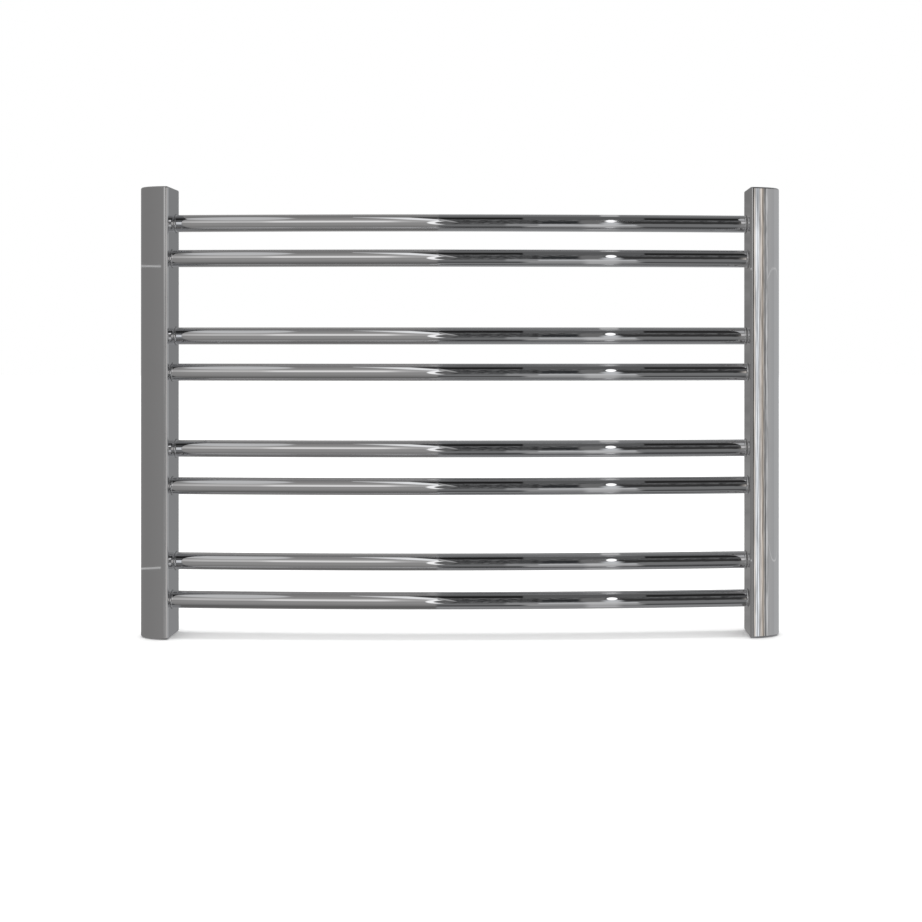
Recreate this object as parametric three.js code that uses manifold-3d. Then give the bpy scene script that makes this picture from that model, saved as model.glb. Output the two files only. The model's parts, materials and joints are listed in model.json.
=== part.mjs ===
// Chromed ladder towel warmer: two D-section uprights joined by four pairs of bowed tubes, hung on a wall
// by four round brackets. Warm water enters one upright, crosses through the tubes and leaves by the other.
// Millimetres, +Z up, +Y into the wall. The origin is on the wall, behind the middle of the rack.
import * as THREE from "three";
import { mergeVertices } from "three/addons/utils/BufferGeometryUtils.js";
import Module from "manifold-3d";

// Driving dimensions.
const WIDTH = 600; // over both uprights
const HEIGHT = 420; // over the end plates
const UPRIGHT_WIDTH = 30; // D-section, from its flat inner face to the crown of its curve
const UPRIGHT_DEPTH = 40; // across its flat face
const UPRIGHT_WALL = 1.5;
const WALL_GAP = 40; // from the wall to the back of the uprights
const GAP = 0.3; // between pieces that touch in the real rack

const PAIRS = 4;
const PAIR_PITCH = 106.3;
const PAIR_SPACING = 33.9; // from the upper tube of a pair down to the lower one
const TOP_TUBE_DROP = 32.5; // from the top of the rack to the axis of the first tube
const TUBE_RADIUS = 8;
const TUBE_BORE = 6.8;
const TUBE_ENTRY = 2.5; // how far a tube reaches in past the flat face of its upright
const TUBE_BOW = 11; // how far the middle of a tube stands forward of its ends
const TUBE_STEPS = 9; // straight steps along a tube's bow
// The tubes of a pair are staggered: setback is from the front of the uprights to a tube's ends.
const TUBE_KINDS = [
  { name: "upper", setback: 28, drop: 0 },
  { name: "lower", setback: 15, drop: PAIR_SPACING },
];

const END_PLATE = 2.5;
const INLET_INSET = 14.2; // from the flat face of the upright to the axis of the water inlet
const INLET = { radius: 12.2, bore: 9.3, length: 16, lead: 1.2 }; // G 1/2 inside thread

const PORT_INSET = 15; // from the flat face to the axis of the ports at the back
const PORT_DROP = 20; // from the top of the rack to the axis of the ports
const PORT = { radius: 8, bore: 4.4, reach: 9 }; // G 1/8 bosses, reach is behind the back of the upright
const SEAL = { radius: 6.6, bore: 4.6, thickness: 1.2 };
const PLUG = { shank: 4.1, length: 8, acrossFlats: 13, head: 5 };
const BLEED = { radius: 2.4, bore: 2.7, depth: 7, key: 3.4, keyLength: 3, waterway: 1.1 };

const BRACKET_INSET = 21; // from the flat face to the axis of a bracket
const BRACKET_HEIGHT = 124; // above and below the middle of the rack
const POST = { radius: 5.5, end: 48, collar: 7.5, collarEnd: 23 };
const CUP = { radius: 8.5, bore: 5.9, length: 30, base: 4, screwHole: 2.6 };
const GRUB = { radius: 2, length: 3.2, socket: 2, socketDepth: 2.2, fromMouth: 5 };
const WALL_SCREW = { radius: 2.2, head: 4.6, headHeight: 2.7, length: 38, driver: 3, driverDepth: 1.6 };

const INNER_FACE = WIDTH / 2 - UPRIGHT_WIDTH;
const RACK_Y = -(WALL_GAP + UPRIGHT_DEPTH / 2); // the middle of the uprights' depth
const BACK_Y = UPRIGHT_DEPTH / 2; // the back of the uprights, in the rack's own frame
const SIDES = [
  { name: "left", sign: -1 },
  { name: "right", sign: 1 },
];
const LEVELS = [
  { name: "top", sign: 1 },
  { name: "bottom", sign: -1 },
];

const wasm = await Module();
wasm.setup();

function finish(color, roughness, metalness) {
  return new THREE.MeshStandardMaterial({ color, roughness, metalness });
}
const CHROME = finish(0xb9babc, 0.06, 1);
const NICKEL = finish(0xa9a294, 0.22, 1);
const ZINC = finish(0xa7abb0, 0.35, 1);
const RUBBER = finish(0x1c1c1d, 0.8, 0);

// A closed geometry as a solid that can be cut and joined.
function solid(geometry) {
  const bare = geometry.index ? geometry.toNonIndexed() : geometry.clone();
  bare.deleteAttribute("normal");
  bare.deleteAttribute("uv");
  const merged = mergeVertices(bare, 1e-4);
  return new wasm.Manifold(
    new wasm.Mesh({
      numProp: 3,
      vertProperties: merged.attributes.position.array,
      triVerts: merged.index.array,
    }),
  );
}

function geometryOf(body) {
  const mesh = body.getMesh();
  const geometry = new THREE.BufferGeometry();
  geometry.setAttribute("position", new THREE.BufferAttribute(mesh.vertProperties, 3));
  geometry.setIndex(new THREE.BufferAttribute(mesh.triVerts, 1));
  geometry.computeVertexNormals();
  return geometry;
}

function cut(geometry, ...tools) {
  let body = solid(geometry);
  for (const tool of tools) body = body.subtract(solid(tool));
  return geometryOf(body);
}

function join(geometry, addition) {
  return geometryOf(solid(geometry).add(solid(addition)));
}

function piece(name, geometry, material) {
  const mesh = new THREE.Mesh(geometry, material);
  mesh.name = name;
  return mesh;
}

// A piece turned on a lathe about the Z axis, from [radius, height] pairs that run up the outside.
function turned(profile, segments) {
  const points = profile.map(([radius, height]) => new THREE.Vector2(radius, height));
  return new THREE.LatheGeometry(points, segments).rotateX(Math.PI / 2);
}

// A plain rod about the Z axis, from one height to another.
function rod(radius, from, to, segments) {
  return turned([[0, from], [radius, from], [radius, to], [0, to]], segments);
}

// A plain tube about the Z axis.
function sleeve(radius, bore, from, to, segments) {
  return turned([[bore, from], [radius, from], [radius, to], [bore, to], [bore, from]], segments);
}

// A prism with flat sides about the Z axis, such as a hexagon head or a square key.
function prism(sides, acrossFlats, from, to) {
  const radius = acrossFlats / 2 / Math.cos(Math.PI / sides);
  return rod(radius, from, to, sides);
}

// Stands a piece made about the Z axis on the Y axis: its bottom faces the front, its top the wall.
function towardsWall(geometry) {
  return geometry.rotateX(-Math.PI / 2);
}

// The D outline of an upright, grown outwards by a margin (or shrunk by a negative one).
function uprightOutline(sign, margin, path = new THREE.Shape()) {
  const flat = sign * (INNER_FACE - margin);
  const start = sign > 0 ? -Math.PI / 2 : Math.PI / 2;
  const crown = UPRIGHT_WIDTH + 2 * margin;
  path.absellipse(flat, 0, crown, UPRIGHT_DEPTH / 2 + margin, start, start + Math.PI, false);
  path.closePath();
  return path;
}

function extrude(shape, from, to, curveSegments) {
  const options = { depth: to - from, bevelEnabled: false, curveSegments };
  return new THREE.ExtrudeGeometry(shape, options).translate(0, 0, from);
}

// The solid D that a piece brazed to an upright is shaped against.
function uprightClearance(sign) {
  return extrude(uprightOutline(sign, GAP), -HEIGHT / 2, HEIGHT / 2, 12);
}

// The parabola that a tube's axis follows, out to a reach on each side of the middle.
function tubeAxis(kind, z, reach) {
  const middle = kind.setback - UPRIGHT_DEPTH / 2 - TUBE_BOW;
  const end = middle + TUBE_BOW * (reach / INNER_FACE) ** 2;
  return new THREE.QuadraticBezierCurve3(
    new THREE.Vector3(-reach, end, z),
    new THREE.Vector3(0, 2 * middle - end, z),
    new THREE.Vector3(reach, end, z),
  );
}

function tubeAlong(axis, radius, bore) {
  const section = new THREE.Shape().absarc(0, 0, radius, 0, 2 * Math.PI, false);
  if (bore > 0) section.holes.push(new THREE.Path().absarc(0, 0, bore, 0, 2 * Math.PI, true));
  const options = { extrudePath: axis, steps: TUBE_STEPS, curveSegments: 8 };
  return new THREE.ExtrudeGeometry(section, options);
}

const TUBES = [];
for (let pair = 0; pair < PAIRS; pair++) {
  for (const kind of TUBE_KINDS) {
    const z = HEIGHT / 2 - TOP_TUBE_DROP - pair * PAIR_PITCH - kind.drop;
    TUBES.push({ name: `${pair + 1}_${kind.name}`, kind, z });
  }
}

function heatingTube({ name, kind, z }) {
  const axis = tubeAxis(kind, z, INNER_FACE + TUBE_ENTRY);
  return piece(`tube_${name}`, tubeAlong(axis, TUBE_RADIUS, TUBE_BORE), CHROME);
}

// The ring of braze where a tube meets the flat face of its upright.
function brazeRing({ name, kind, z }, side) {
  const bore = TUBE_RADIUS + GAP;
  const profile = [[bore, 0], [bore + 1.1, 0], [bore + 0.4, 0.7], [bore, 1.2], [bore, 0]];
  const ring = piece(`braze_${name}_${side.name}`, turned(profile, 16), CHROME);
  ring.rotation.y = (-side.sign * Math.PI) / 2;
  ring.position.set(side.sign * (INNER_FACE - GAP), kind.setback - UPRIGHT_DEPTH / 2, z);
  return ring;
}

// A D-section tube, bored for the heating tubes and for the port at the back.
function upright(side) {
  const shape = uprightOutline(side.sign, 0);
  shape.holes.push(uprightOutline(side.sign, -UPRIGHT_WALL, new THREE.Path()));
  const end = HEIGHT / 2 - END_PLATE - GAP;
  const bores = TUBES.map(({ kind, z }) => {
    const axis = tubeAxis(kind, z, INNER_FACE + 2 * TUBE_ENTRY);
    return tubeAlong(axis, TUBE_RADIUS + GAP, 0);
  });
  const port = towardsWall(rod(PORT.bore, 0, UPRIGHT_DEPTH, 16));
  port.translate(portX(side), 0, PORT_Z);
  const bored = cut(extrude(shape, -end, end, 10), ...bores, port);
  return piece(`upright_${side.name}`, bored, CHROME);
}

function endPlate(side, level) {
  const shape = uprightOutline(side.sign, 0);
  if (level.name === "bottom") {
    const inlet = new THREE.Path().absarc(inletX(side), 0, INLET.radius + GAP, 0, 2 * Math.PI, true);
    shape.holes.push(inlet);
  }
  const outer = (level.sign * HEIGHT) / 2;
  const inner = outer - level.sign * END_PLATE;
  const plate = extrude(shape, Math.min(inner, outer), Math.max(inner, outer), 10);
  return piece(`end_plate_${level.name}_${side.name}`, plate, CHROME);
}

function inletX(side) {
  return side.sign * (INNER_FACE + INLET_INSET);
}

// The water inlet in the bottom of an upright, with an inside pipe thread.
function inletSocket(side) {
  const { radius, bore, length, lead } = INLET;
  const profile = [
    [bore + lead, 0],
    [radius, 0],
    [radius, length],
    [bore, length],
    [bore, lead],
    [bore + lead, 0],
  ];
  const socket = piece(`inlet_socket_${side.name}`, turned(profile, 24), CHROME);
  socket.position.set(inletX(side), 0, -HEIGHT / 2);
  return socket;
}

const PORT_Z = HEIGHT / 2 - PORT_DROP;
function portX(side) {
  return side.sign * (INNER_FACE + PORT_INSET);
}

// The threaded boss brazed to the back of an upright.
function portBoss(side) {
  const boss = towardsWall(sleeve(PORT.radius, PORT.bore, 0, BACK_Y + PORT.reach, 20));
  boss.translate(portX(side), 0, PORT_Z);
  return piece(`port_boss_${side.name}`, cut(boss, uprightClearance(side.sign)), CHROME);
}

function portSeal(side) {
  const seal = towardsWall(sleeve(SEAL.radius, SEAL.bore, 0, SEAL.thickness, 16));
  const mesh = piece(`port_seal_${side.name}`, seal, RUBBER);
  mesh.position.set(portX(side), BACK_Y + PORT.reach + GAP, PORT_Z);
  return mesh;
}

// A hexagon-headed plug: its head starts at height 0 and its shank hangs below.
function plugBlank() {
  const head = prism(6, PLUG.acrossFlats, 0, PLUG.head);
  return join(head, rod(PLUG.shank, -PLUG.length, 1, 16));
}
const PLUG_Y = BACK_Y + PORT.reach + SEAL.thickness + 2 * GAP;

// The vent's body: a bore for the bleed screw, a waterway behind it and a weep hole out at the side.
function ventBody(side) {
  const screwBore = rod(BLEED.bore, PLUG.head - BLEED.depth, PLUG.head + 1, 16);
  const waterway = rod(BLEED.waterway, -PLUG.length - 1, PLUG.head, 12);
  const weep = rod(0.8, 0, PLUG.acrossFlats, 10).rotateY(Math.PI / 2);
  weep.translate(0, 0, PLUG.head / 2 - 1.2);
  const body = towardsWall(cut(plugBlank(), screwBore, waterway, weep));
  const mesh = piece("vent_body", body, NICKEL);
  mesh.position.set(portX(side), PLUG_Y, PORT_Z);
  return mesh;
}

// The bleed screw: a cone that closes the waterway, and a square for the key.
function bleedScrew(side) {
  const bottom = PLUG.head - BLEED.depth + GAP;
  const shank = [[0, bottom], [0.8, bottom], [BLEED.radius, bottom + 1.4], [BLEED.radius, PLUG.head]];
  const screw = turned([...shank, [0, PLUG.head]], 16);
  const key = prism(4, BLEED.key, PLUG.head - 1, PLUG.head + BLEED.keyLength);
  const mesh = piece("bleed_screw", towardsWall(join(screw, key)), NICKEL);
  mesh.position.set(portX(side), PLUG_Y, PORT_Z);
  return mesh;
}

// The plug that closes the port of the other upright, with a hexagon socket.
function blankingPlug(side) {
  const socket = prism(6, 5, 1, PLUG.head + 1);
  const plug = towardsWall(cut(plugBlank(), socket));
  const mesh = piece("blanking_plug", plug, NICKEL);
  mesh.position.set(portX(side), PLUG_Y, PORT_Z);
  return mesh;
}

function bracketX(side) {
  return side.sign * (INNER_FACE + BRACKET_INSET);
}

// The post brazed to the back of an upright, with a collar shaped to the curve.
function bracketPost(side, level) {
  const profile = [
    [0, 0],
    [POST.collar, 0],
    [POST.collar, POST.collarEnd - 1],
    [POST.collar - 1, POST.collarEnd],
    [POST.radius, POST.collarEnd],
    [POST.radius, POST.end - 1],
    [POST.radius - 1, POST.end],
    [0, POST.end],
  ];
  const post = towardsWall(turned(profile, 20));
  post.translate(bracketX(side), 0, level.sign * BRACKET_HEIGHT);
  const shaped = cut(post, uprightClearance(side.sign));
  return piece(`bracket_post_${level.name}_${side.name}`, shaped, CHROME);
}

// The cup that is screwed to the wall and takes the post, with a hole below for its grub screw.
function wallCup(side, level) {
  const mouth = -CUP.length;
  const profile = [
    [CUP.screwHole, 0],
    [CUP.screwHole, -CUP.base],
    [CUP.bore, -CUP.base],
    [CUP.bore, mouth],
    [CUP.radius - 1, mouth],
    [CUP.radius, mouth + 1],
    [CUP.radius, 0],
    [CUP.screwHole, 0],
  ];
  const cup = towardsWall(turned(profile, 24));
  const hole = rod(GRUB.radius + GAP, -CUP.radius - 1, 0, 12);
  hole.translate(0, mouth + GRUB.fromMouth, 0);
  const mesh = piece(`wall_cup_${level.name}_${side.name}`, cut(cup, hole), CHROME);
  mesh.position.set(bracketX(side), 0, level.sign * BRACKET_HEIGHT);
  return mesh;
}

// The grub screw that locks the post in its cup, turned from below with a hexagon key.
function grubScrew(side, level) {
  const tip = -POST.radius - GAP;
  const bottom = tip - GRUB.length;
  const socket = prism(6, GRUB.socket, bottom - 1, bottom + GRUB.socketDepth);
  const screw = cut(rod(GRUB.radius, bottom, tip, 12), socket);
  const mesh = piece(`grub_screw_${level.name}_${side.name}`, screw, ZINC);
  mesh.position.set(bracketX(side), -CUP.length + GRUB.fromMouth, level.sign * BRACKET_HEIGHT);
  return mesh;
}

// The screw that holds a cup to the wall.
function wallScrew(side, level) {
  const { radius, head, headHeight, length } = WALL_SCREW;
  const profile = [
    [0, -headHeight],
    [head * 0.7, -headHeight],
    [head, -headHeight * 0.5],
    [head, 0],
    [radius, 0],
    [radius, length - 6],
    [0, length],
  ];
  const driver = prism(6, WALL_SCREW.driver, -headHeight - 1, -headHeight + WALL_SCREW.driverDepth);
  const screw = towardsWall(cut(turned(profile, 16), driver));
  const mesh = piece(`wall_screw_${level.name}_${side.name}`, screw, ZINC);
  mesh.position.set(bracketX(side), -CUP.base - GAP, level.sign * BRACKET_HEIGHT);
  return mesh;
}

const [LEFT, RIGHT] = SIDES;
const rack = new THREE.Group();
rack.position.y = RACK_Y;
const wallSide = new THREE.Group();
for (const side of SIDES) {
  rack.add(upright(side), inletSocket(side), portBoss(side), portSeal(side));
  for (const level of LEVELS) {
    rack.add(endPlate(side, level), bracketPost(side, level));
    wallSide.add(wallCup(side, level), grubScrew(side, level), wallScrew(side, level));
  }
}
for (const tube of TUBES) {
  rack.add(heatingTube(tube), brazeRing(tube, LEFT), brazeRing(tube, RIGHT));
}
rack.add(ventBody(LEFT), bleedScrew(LEFT), blankingPlug(RIGHT));

const towelWarmer = new THREE.Group();
towelWarmer.add(rack, wallSide);
export default towelWarmer;
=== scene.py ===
"""Chromed ladder towel warmer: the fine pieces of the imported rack, and the studio it stands in."""
import json
import math

import bpy
import numpy as np
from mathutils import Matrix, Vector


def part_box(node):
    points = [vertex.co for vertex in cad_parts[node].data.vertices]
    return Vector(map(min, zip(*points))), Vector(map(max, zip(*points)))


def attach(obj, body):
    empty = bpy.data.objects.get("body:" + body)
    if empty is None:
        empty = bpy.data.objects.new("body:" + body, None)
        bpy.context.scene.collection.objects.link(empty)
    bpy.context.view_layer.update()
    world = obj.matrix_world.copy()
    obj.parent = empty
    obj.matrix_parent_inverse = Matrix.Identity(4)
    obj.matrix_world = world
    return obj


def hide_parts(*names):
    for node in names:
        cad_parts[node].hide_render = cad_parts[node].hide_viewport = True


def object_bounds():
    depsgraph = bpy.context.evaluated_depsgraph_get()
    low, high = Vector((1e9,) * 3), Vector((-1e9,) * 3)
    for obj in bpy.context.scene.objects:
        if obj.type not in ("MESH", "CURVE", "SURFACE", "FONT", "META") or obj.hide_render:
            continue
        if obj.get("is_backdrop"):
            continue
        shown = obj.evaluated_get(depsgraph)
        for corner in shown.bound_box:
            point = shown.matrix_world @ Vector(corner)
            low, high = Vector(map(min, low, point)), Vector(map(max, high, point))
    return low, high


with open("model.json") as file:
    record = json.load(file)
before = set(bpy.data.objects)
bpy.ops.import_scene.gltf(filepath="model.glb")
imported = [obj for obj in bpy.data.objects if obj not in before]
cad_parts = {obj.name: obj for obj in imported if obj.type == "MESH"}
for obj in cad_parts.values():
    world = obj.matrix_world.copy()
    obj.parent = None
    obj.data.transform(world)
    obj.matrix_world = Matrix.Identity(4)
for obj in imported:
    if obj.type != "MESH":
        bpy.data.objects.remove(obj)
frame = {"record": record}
cad_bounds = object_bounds()

# ---- Uprights -------------------------------------------------------------------------------------
# Each upright is a drawn steel tube of D section, with its flat face towards the middle of the rack.
# The flat face is bored for the heating tubes; after brazing the whole rack is polished and chromed.

SIDES = {"left": -1, "right": 1}
LEVELS = {"top": 1, "bottom": -1}
CORNERS = [(side, level) for side in SIDES for level in LEVELS]
SPAN = 8  # quads across the block of a surface that an opening takes the place of
RIM = 4 * SPAN + 1


def quads(rows):
    """The four corners of every quad between rows of points."""
    return np.stack([rows[:-1, :-1], rows[1:, :-1], rows[1:, 1:], rows[:-1, 1:]], 2)


class Skin:
    """The faces of one piece in metres, with the true normal of its surface at every corner."""

    def __init__(self):
        self.groups = []

    def add(self, corners, normals, flat=False):
        """Adds faces with one corner count, turned to face the way of their normals or one normal."""
        corners = np.array(corners, float)
        normals = np.zeros_like(corners) + normals
        half = corners.shape[1] // 2
        facing = np.cross(corners[:, half] - corners[:, 0], corners[:, -1] - corners[:, 1])
        facing /= np.linalg.norm(facing, axis=1, keepdims=True) + 1e-20
        backwards = np.einsum("fk,fck->f", facing, normals) < 0
        corners[backwards] = corners[backwards, ::-1]
        normals[backwards] = normals[backwards, ::-1]
        if flat:
            facing[backwards] *= -1
            normals[:] = facing[:, None]
        self.groups.append((corners, normals))

    def grid(self, points, normals, flat=False):
        """Adds the quads between rows of points, with a normal for each point or one for all."""
        points = np.array(points)
        normals = np.zeros_like(points) + normals
        self.add(quads(points).reshape(-1, 4, 3), quads(normals).reshape(-1, 4, 3), flat)

    def lining(self, rims, middle, axis):
        """Adds the wall of a hole along that axis, between two rims, facing the middle of the hole."""
        inward = middle - np.array(rims)
        inward[..., axis] = 0
        self.grid(rims, inward)

    def surface(self, place, us, vs, outward=1, openings=(), flat=False):
        """Adds place(u, v) over us × vs. An opening takes the room of SPAN × SPAN quads, from its u, v."""
        us, vs = np.asarray(us, float), np.asarray(vs, float)
        kept = np.ones((len(us) - 1, len(vs) - 1), bool)
        patches = []
        for opening in openings:
            i = int(np.argmin(abs(us - opening["u"])))
            j = int(np.argmin(abs(vs - opening["v"])))
            kept[i : i + SPAN, j : j + SPAN] = False
            run_u, run_v = us[i : i + SPAN + 1], vs[j : j + SPAN + 1]
            edge_u = np.concatenate([run_u, [run_u[-1]] * (SPAN - 1), run_u[::-1], [run_u[0]] * SPAN])
            edge_v = np.concatenate([[run_v[0]] * SPAN, run_v, [run_v[-1]] * (SPAN - 1), run_v[::-1]])
            edge, rim = np.stack([edge_u, edge_v], -1), np.stack(rim_of(opening), -1)
            share = np.linspace(0, 1, 5)[:, None, None]
            patches.append(quads(rim + (edge - rim) * share).reshape(-1, 4, 2))
        rows = np.stack(np.meshgrid(us, vs, indexing="ij"), -1)
        for cells in [quads(rows)[kept], *patches]:
            u, v = cells[..., 0], cells[..., 1]
            self.add(place(u, v), normal_of(place, u, v) * outward, flat)

    def build(self, name, mirror):
        """Makes the object, mirrored along each axis whose mirror is -1."""
        step = -1 if np.prod(mirror) < 0 else 1
        points = np.concatenate([c[:, ::step].reshape(-1, 3) for c, n in self.groups]) * mirror
        normals = np.concatenate([n[:, ::step].reshape(-1, 3) for c, n in self.groups]) * mirror
        sizes = np.concatenate([[c.shape[1]] * len(c) for c, n in self.groups])
        vertices, index = np.unique(np.round(points, 7), axis=0, return_inverse=True)
        faces = np.split(index.ravel(), np.cumsum(sizes)[:-1])
        mesh = bpy.data.meshes.new(name)
        mesh.from_pydata(vertices.tolist(), [], [face.tolist() for face in faces], shade_flat=False)
        mesh.normals_split_custom_set(normals.tolist())
        piece = bpy.data.objects.new(name, mesh)
        bpy.context.scene.collection.objects.link(piece)
        return piece


def rim_of(opening):
    """The rim of a round opening, as points that start at its corner towards low u and low v."""
    angle = full_turn(RIM - 1) - 0.75 * math.pi
    u = opening["centre_u"] + opening["radius_u"] * np.cos(angle)
    v = opening["centre_v"] + opening["radius_v"] * np.sin(angle)
    return u, v


def full_turn(segments):
    """The angles all round a circle, with the first one again at the end."""
    return np.linspace(0, 2 * math.pi, segments + 1)


def normal_of(place, u, v, step=1e-5):
    """The normal of the surface place(u, v)."""
    across = place(u + step, v) - place(u - step, v)
    along = place(u, v + step) - place(u, v - step)
    normal = np.cross(across, along)
    return normal / (np.linalg.norm(normal, axis=-1, keepdims=True) + 1e-20)


class Signal:
    """One output in a node tree. Sums on it add Math nodes, and node() adds any other kind."""

    def __init__(self, tree, socket=None):
        self.tree = tree
        self.socket = socket

    def node(self, kind, settings=None, inputs=None, output=0):
        """Adds a node: its settings first, then the values or signals of its sockets."""
        made = self.tree.nodes.new("ShaderNode" + kind)
        for key, value in (settings or {}).items():
            if key == "stops":
                fill_ramp(made.color_ramp, value)
            else:
                setattr(made, key, value)
        for key, value in (inputs or {}).items():
            if isinstance(value, Signal):
                self.tree.links.new(value.socket, made.inputs[key])
            else:
                made.inputs[key].default_value = value
        return Signal(self.tree, made.outputs[output]) if len(made.outputs) else None

    def math(self, operation, *values):
        return self.node("Math", {"operation": operation}, dict(enumerate(values)))

    def __add__(self, other):
        return self.math("ADD", self, other)

    def __sub__(self, other):
        return self.math("SUBTRACT", self, other)

    def __rsub__(self, other):
        return self.math("SUBTRACT", other, self)

    def __mul__(self, other):
        return self.math("MULTIPLY", self, other)

    def __truediv__(self, other):
        return self.math("DIVIDE", self, other)

    __radd__ = __add__
    __rmul__ = __mul__

    def rise(self, start, end, low=0.0, high=1.0):
        """A smooth change from low at start to high at end."""
        settings = {"interpolation_type": "SMOOTHSTEP"}
        return self.node("MapRange", settings, {0: self, 1: start, 2: end, 3: low, 4: high})

    def ramp(self, stops):
        return self.node("ValToRGB", {"stops": stops}, {0: self})

    def mix(self, first, second):
        """Mixes two colours, with this signal as the share of the second."""
        return self.node("Mix", {"data_type": "RGBA"}, {0: self, 6: first, 7: second}, output=2)

    def noise(self, scale, detail=2.0, roughness=0.5, stretch=(1, 1, 1)):
        """Noise at this position, with scale lumps to the metre; stretch squeezes it along an axis."""
        placed = self.node("Mapping", None, {0: self, 3: stretch})
        return placed.node("TexNoise", None, {0: placed, 2: scale, 3: detail, 4: roughness})

    def bump(self, strength, height):
        """The surface that this signal raises by up to that height, in metres."""
        return self.node("Bump", None, {0: strength, 1: height, 2: 1.0, "Height": self})


def fill_ramp(ramp, stops):
    """Sets the stops of a colour ramp from (position, grey or colour) pairs."""
    while len(ramp.elements) < len(stops):
        ramp.elements.new(1.0)
    for element, (position, colour) in zip(ramp.elements, stops):
        element.position = position
        element.color = colour if isinstance(colour, tuple) else (colour, colour, colour, 1)


def new_material(name):
    """An empty material, with its position signal, its shader and the function that fills the shader."""
    material = bpy.data.materials.new(name)
    material.use_nodes = True
    tree = material.node_tree
    shader = tree.nodes["Principled BSDF"]
    start = Signal(tree)
    position = start.node("TexCoord", output=3)

    def fill(**sockets):
        for key, value in sockets.items():
            socket = shader.inputs[key.replace("_", " ").title()]
            if isinstance(value, Signal):
                tree.links.new(value.socket, socket)
            else:
                socket.default_value = value

    return material, position, fill


def chrome(name, tone, haze, ripple_along, ripple):
    """Mirror chrome: faint polishing ripples along the piece, and a film of fine smears and dry drops."""
    material, position, fill = new_material(name)
    smears = position.noise(38, 4, 0.62, (0.35, 1, 1)).rise(0.50, 0.78)
    drops = position.node("TexVoronoi", {"feature": "F1"}, {0: position, 2: 210.0}).rise(0.10, 0.16, 1, 0)
    drops = drops * position.noise(17, 2).rise(0.60, 0.72)
    film = smears * 0.6 + drops * 0.4
    dull = tuple(channel * 0.965 for channel in tone)
    waves = position.noise(ripple, 2, 0.45, ripple_along)
    hairlines = position.noise(900, 2, 0.7, tuple(0.02 if axis < 1 else 1.0 for axis in ripple_along))
    height = waves + hairlines * 0.012
    shine = film.mix((*tone, 1), (*dull, 1))
    fill(base_color=shine, metallic=1.0, roughness=film * haze + 0.012, normal=height.bump(0.30, 0.00004))
    return material


rack_chrome = chrome("rack_chrome_plate", (0.79, 0.79, 0.80), 0.045, (0.30, 1, 1), 34)
upright_chrome = chrome("upright_chrome_plate", (0.79, 0.79, 0.80), 0.04, (1, 1, 0.22), 30)

NODE_BODY = {n: body for body, nodes in frame["record"]["behaviour"]["bodies"].items() for n in nodes}


def fit(skin, node, finish, material, mirror_x=1, mirror_z=1):
    """Makes the fine piece of that skin and hangs it on the frame, in place of the plain solid."""
    piece = skin.build(f"{node}_{finish}", (mirror_x, 1, mirror_z))
    piece.data.materials.append(material)
    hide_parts(node)
    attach(piece, NODE_BODY[node])


upright_low, upright_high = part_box("upright_right")
rack_low, rack_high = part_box("end_plate_bottom_right")[0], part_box("end_plate_top_right")[1]
FLAT_X = upright_low.x
DEPTH = upright_high.x - upright_low.x
HALF_FACE = (upright_high.y - upright_low.y) / 2
MIDDLE_Y = (upright_high.y + upright_low.y) / 2
UPRIGHT_WALL = 0.0015
CORNER = 0.0026
BORE_CLEARANCE = 0.00005
TUBE_NAMES = [f"{pair}_{kind}" for pair in range(1, 5) for kind in ("upper", "lower")]

# The D is the core of a half ellipse, cut off one corner radius in, and grown back by that radius.
CORE_DEPTH, CORE_HALF = DEPTH - CORNER, HALF_FACE - CORNER
CORE_TURN = math.acos(CORNER / CORE_DEPTH)
CORE_EDGE = CORE_HALF * math.sin(CORE_TURN)
CORNER_START = math.atan2(math.sin(CORE_TURN) / CORE_HALF, math.cos(CORE_TURN) / CORE_DEPTH)


def d_section(t, grow=0.0):
    """x and y of the right upright's D outline. t walks the curve, a corner, the flat face, a corner."""
    t = np.asarray(t, float) % 4
    turn = (2 * np.clip(t, 0, 1) - 1) * CORE_TURN
    sweep = math.pi - CORNER_START
    first = CORNER_START + sweep * np.clip(t - 1, 0, 1)
    angle = first + sweep * np.clip(t - 3, 0, 1)
    on_curve = t < 1
    curve_angle = np.arctan2(np.sin(turn) / CORE_HALF, np.cos(turn) / CORE_DEPTH)
    angle = np.where(on_curve, curve_angle, angle)
    core_x = np.where(on_curve, CORE_DEPTH * np.cos(turn), CORNER)
    core_y = np.where(on_curve, CORE_HALF * np.sin(turn), CORE_EDGE * (1 - 2 * np.clip(t - 2, 0, 1)))
    radius = CORNER + grow
    return FLAT_X + core_x + radius * np.cos(angle), MIDDLE_Y + core_y + radius * np.sin(angle)


SECTION_WALK = np.concatenate(
    [np.linspace(0, 1, 65), np.linspace(1, 2, 9)[1:], np.linspace(2, 3, 9)[1:], np.linspace(3, 4, 9)[1:]]
)


def d_wall(grow):
    """The upright's wall as a surface over the walk round the D and the height."""

    def place(t, z):
        x, y = d_section(t, grow)
        return np.stack([x, y, z + 0 * x], -1)

    return place


def tube_measures(name):
    """Radius, height, the y of the axis at the middle and at the ends, and how far the ends reach."""
    low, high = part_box(f"tube_{name}")
    radius = (high.z - low.z) / 2
    lean = 0.0006  # the ends lean with the bow, so their middle stops short of the box
    return radius, (high.z + low.z) / 2, low.y + radius, high.y - radius, (high.x - low.x) / 2 - lean


def tube_bore(name):
    """The opening in the flat face that a heating tube goes through."""
    radius, z, _, end_y, _ = tube_measures(name)
    room = radius + 0.002
    return {
        "u": 2.0,
        "v": z - room,
        "rows": np.linspace(z - room, z + room, SPAN + 1),
        "centre_u": 2 + (1 - (end_y - MIDDLE_Y) / CORE_EDGE) / 2,
        "centre_v": z,
        "radius_u": (radius + BORE_CLEARANCE) / (2 * CORE_EDGE),
        "radius_v": radius + BORE_CLEARANCE,
    }


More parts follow.
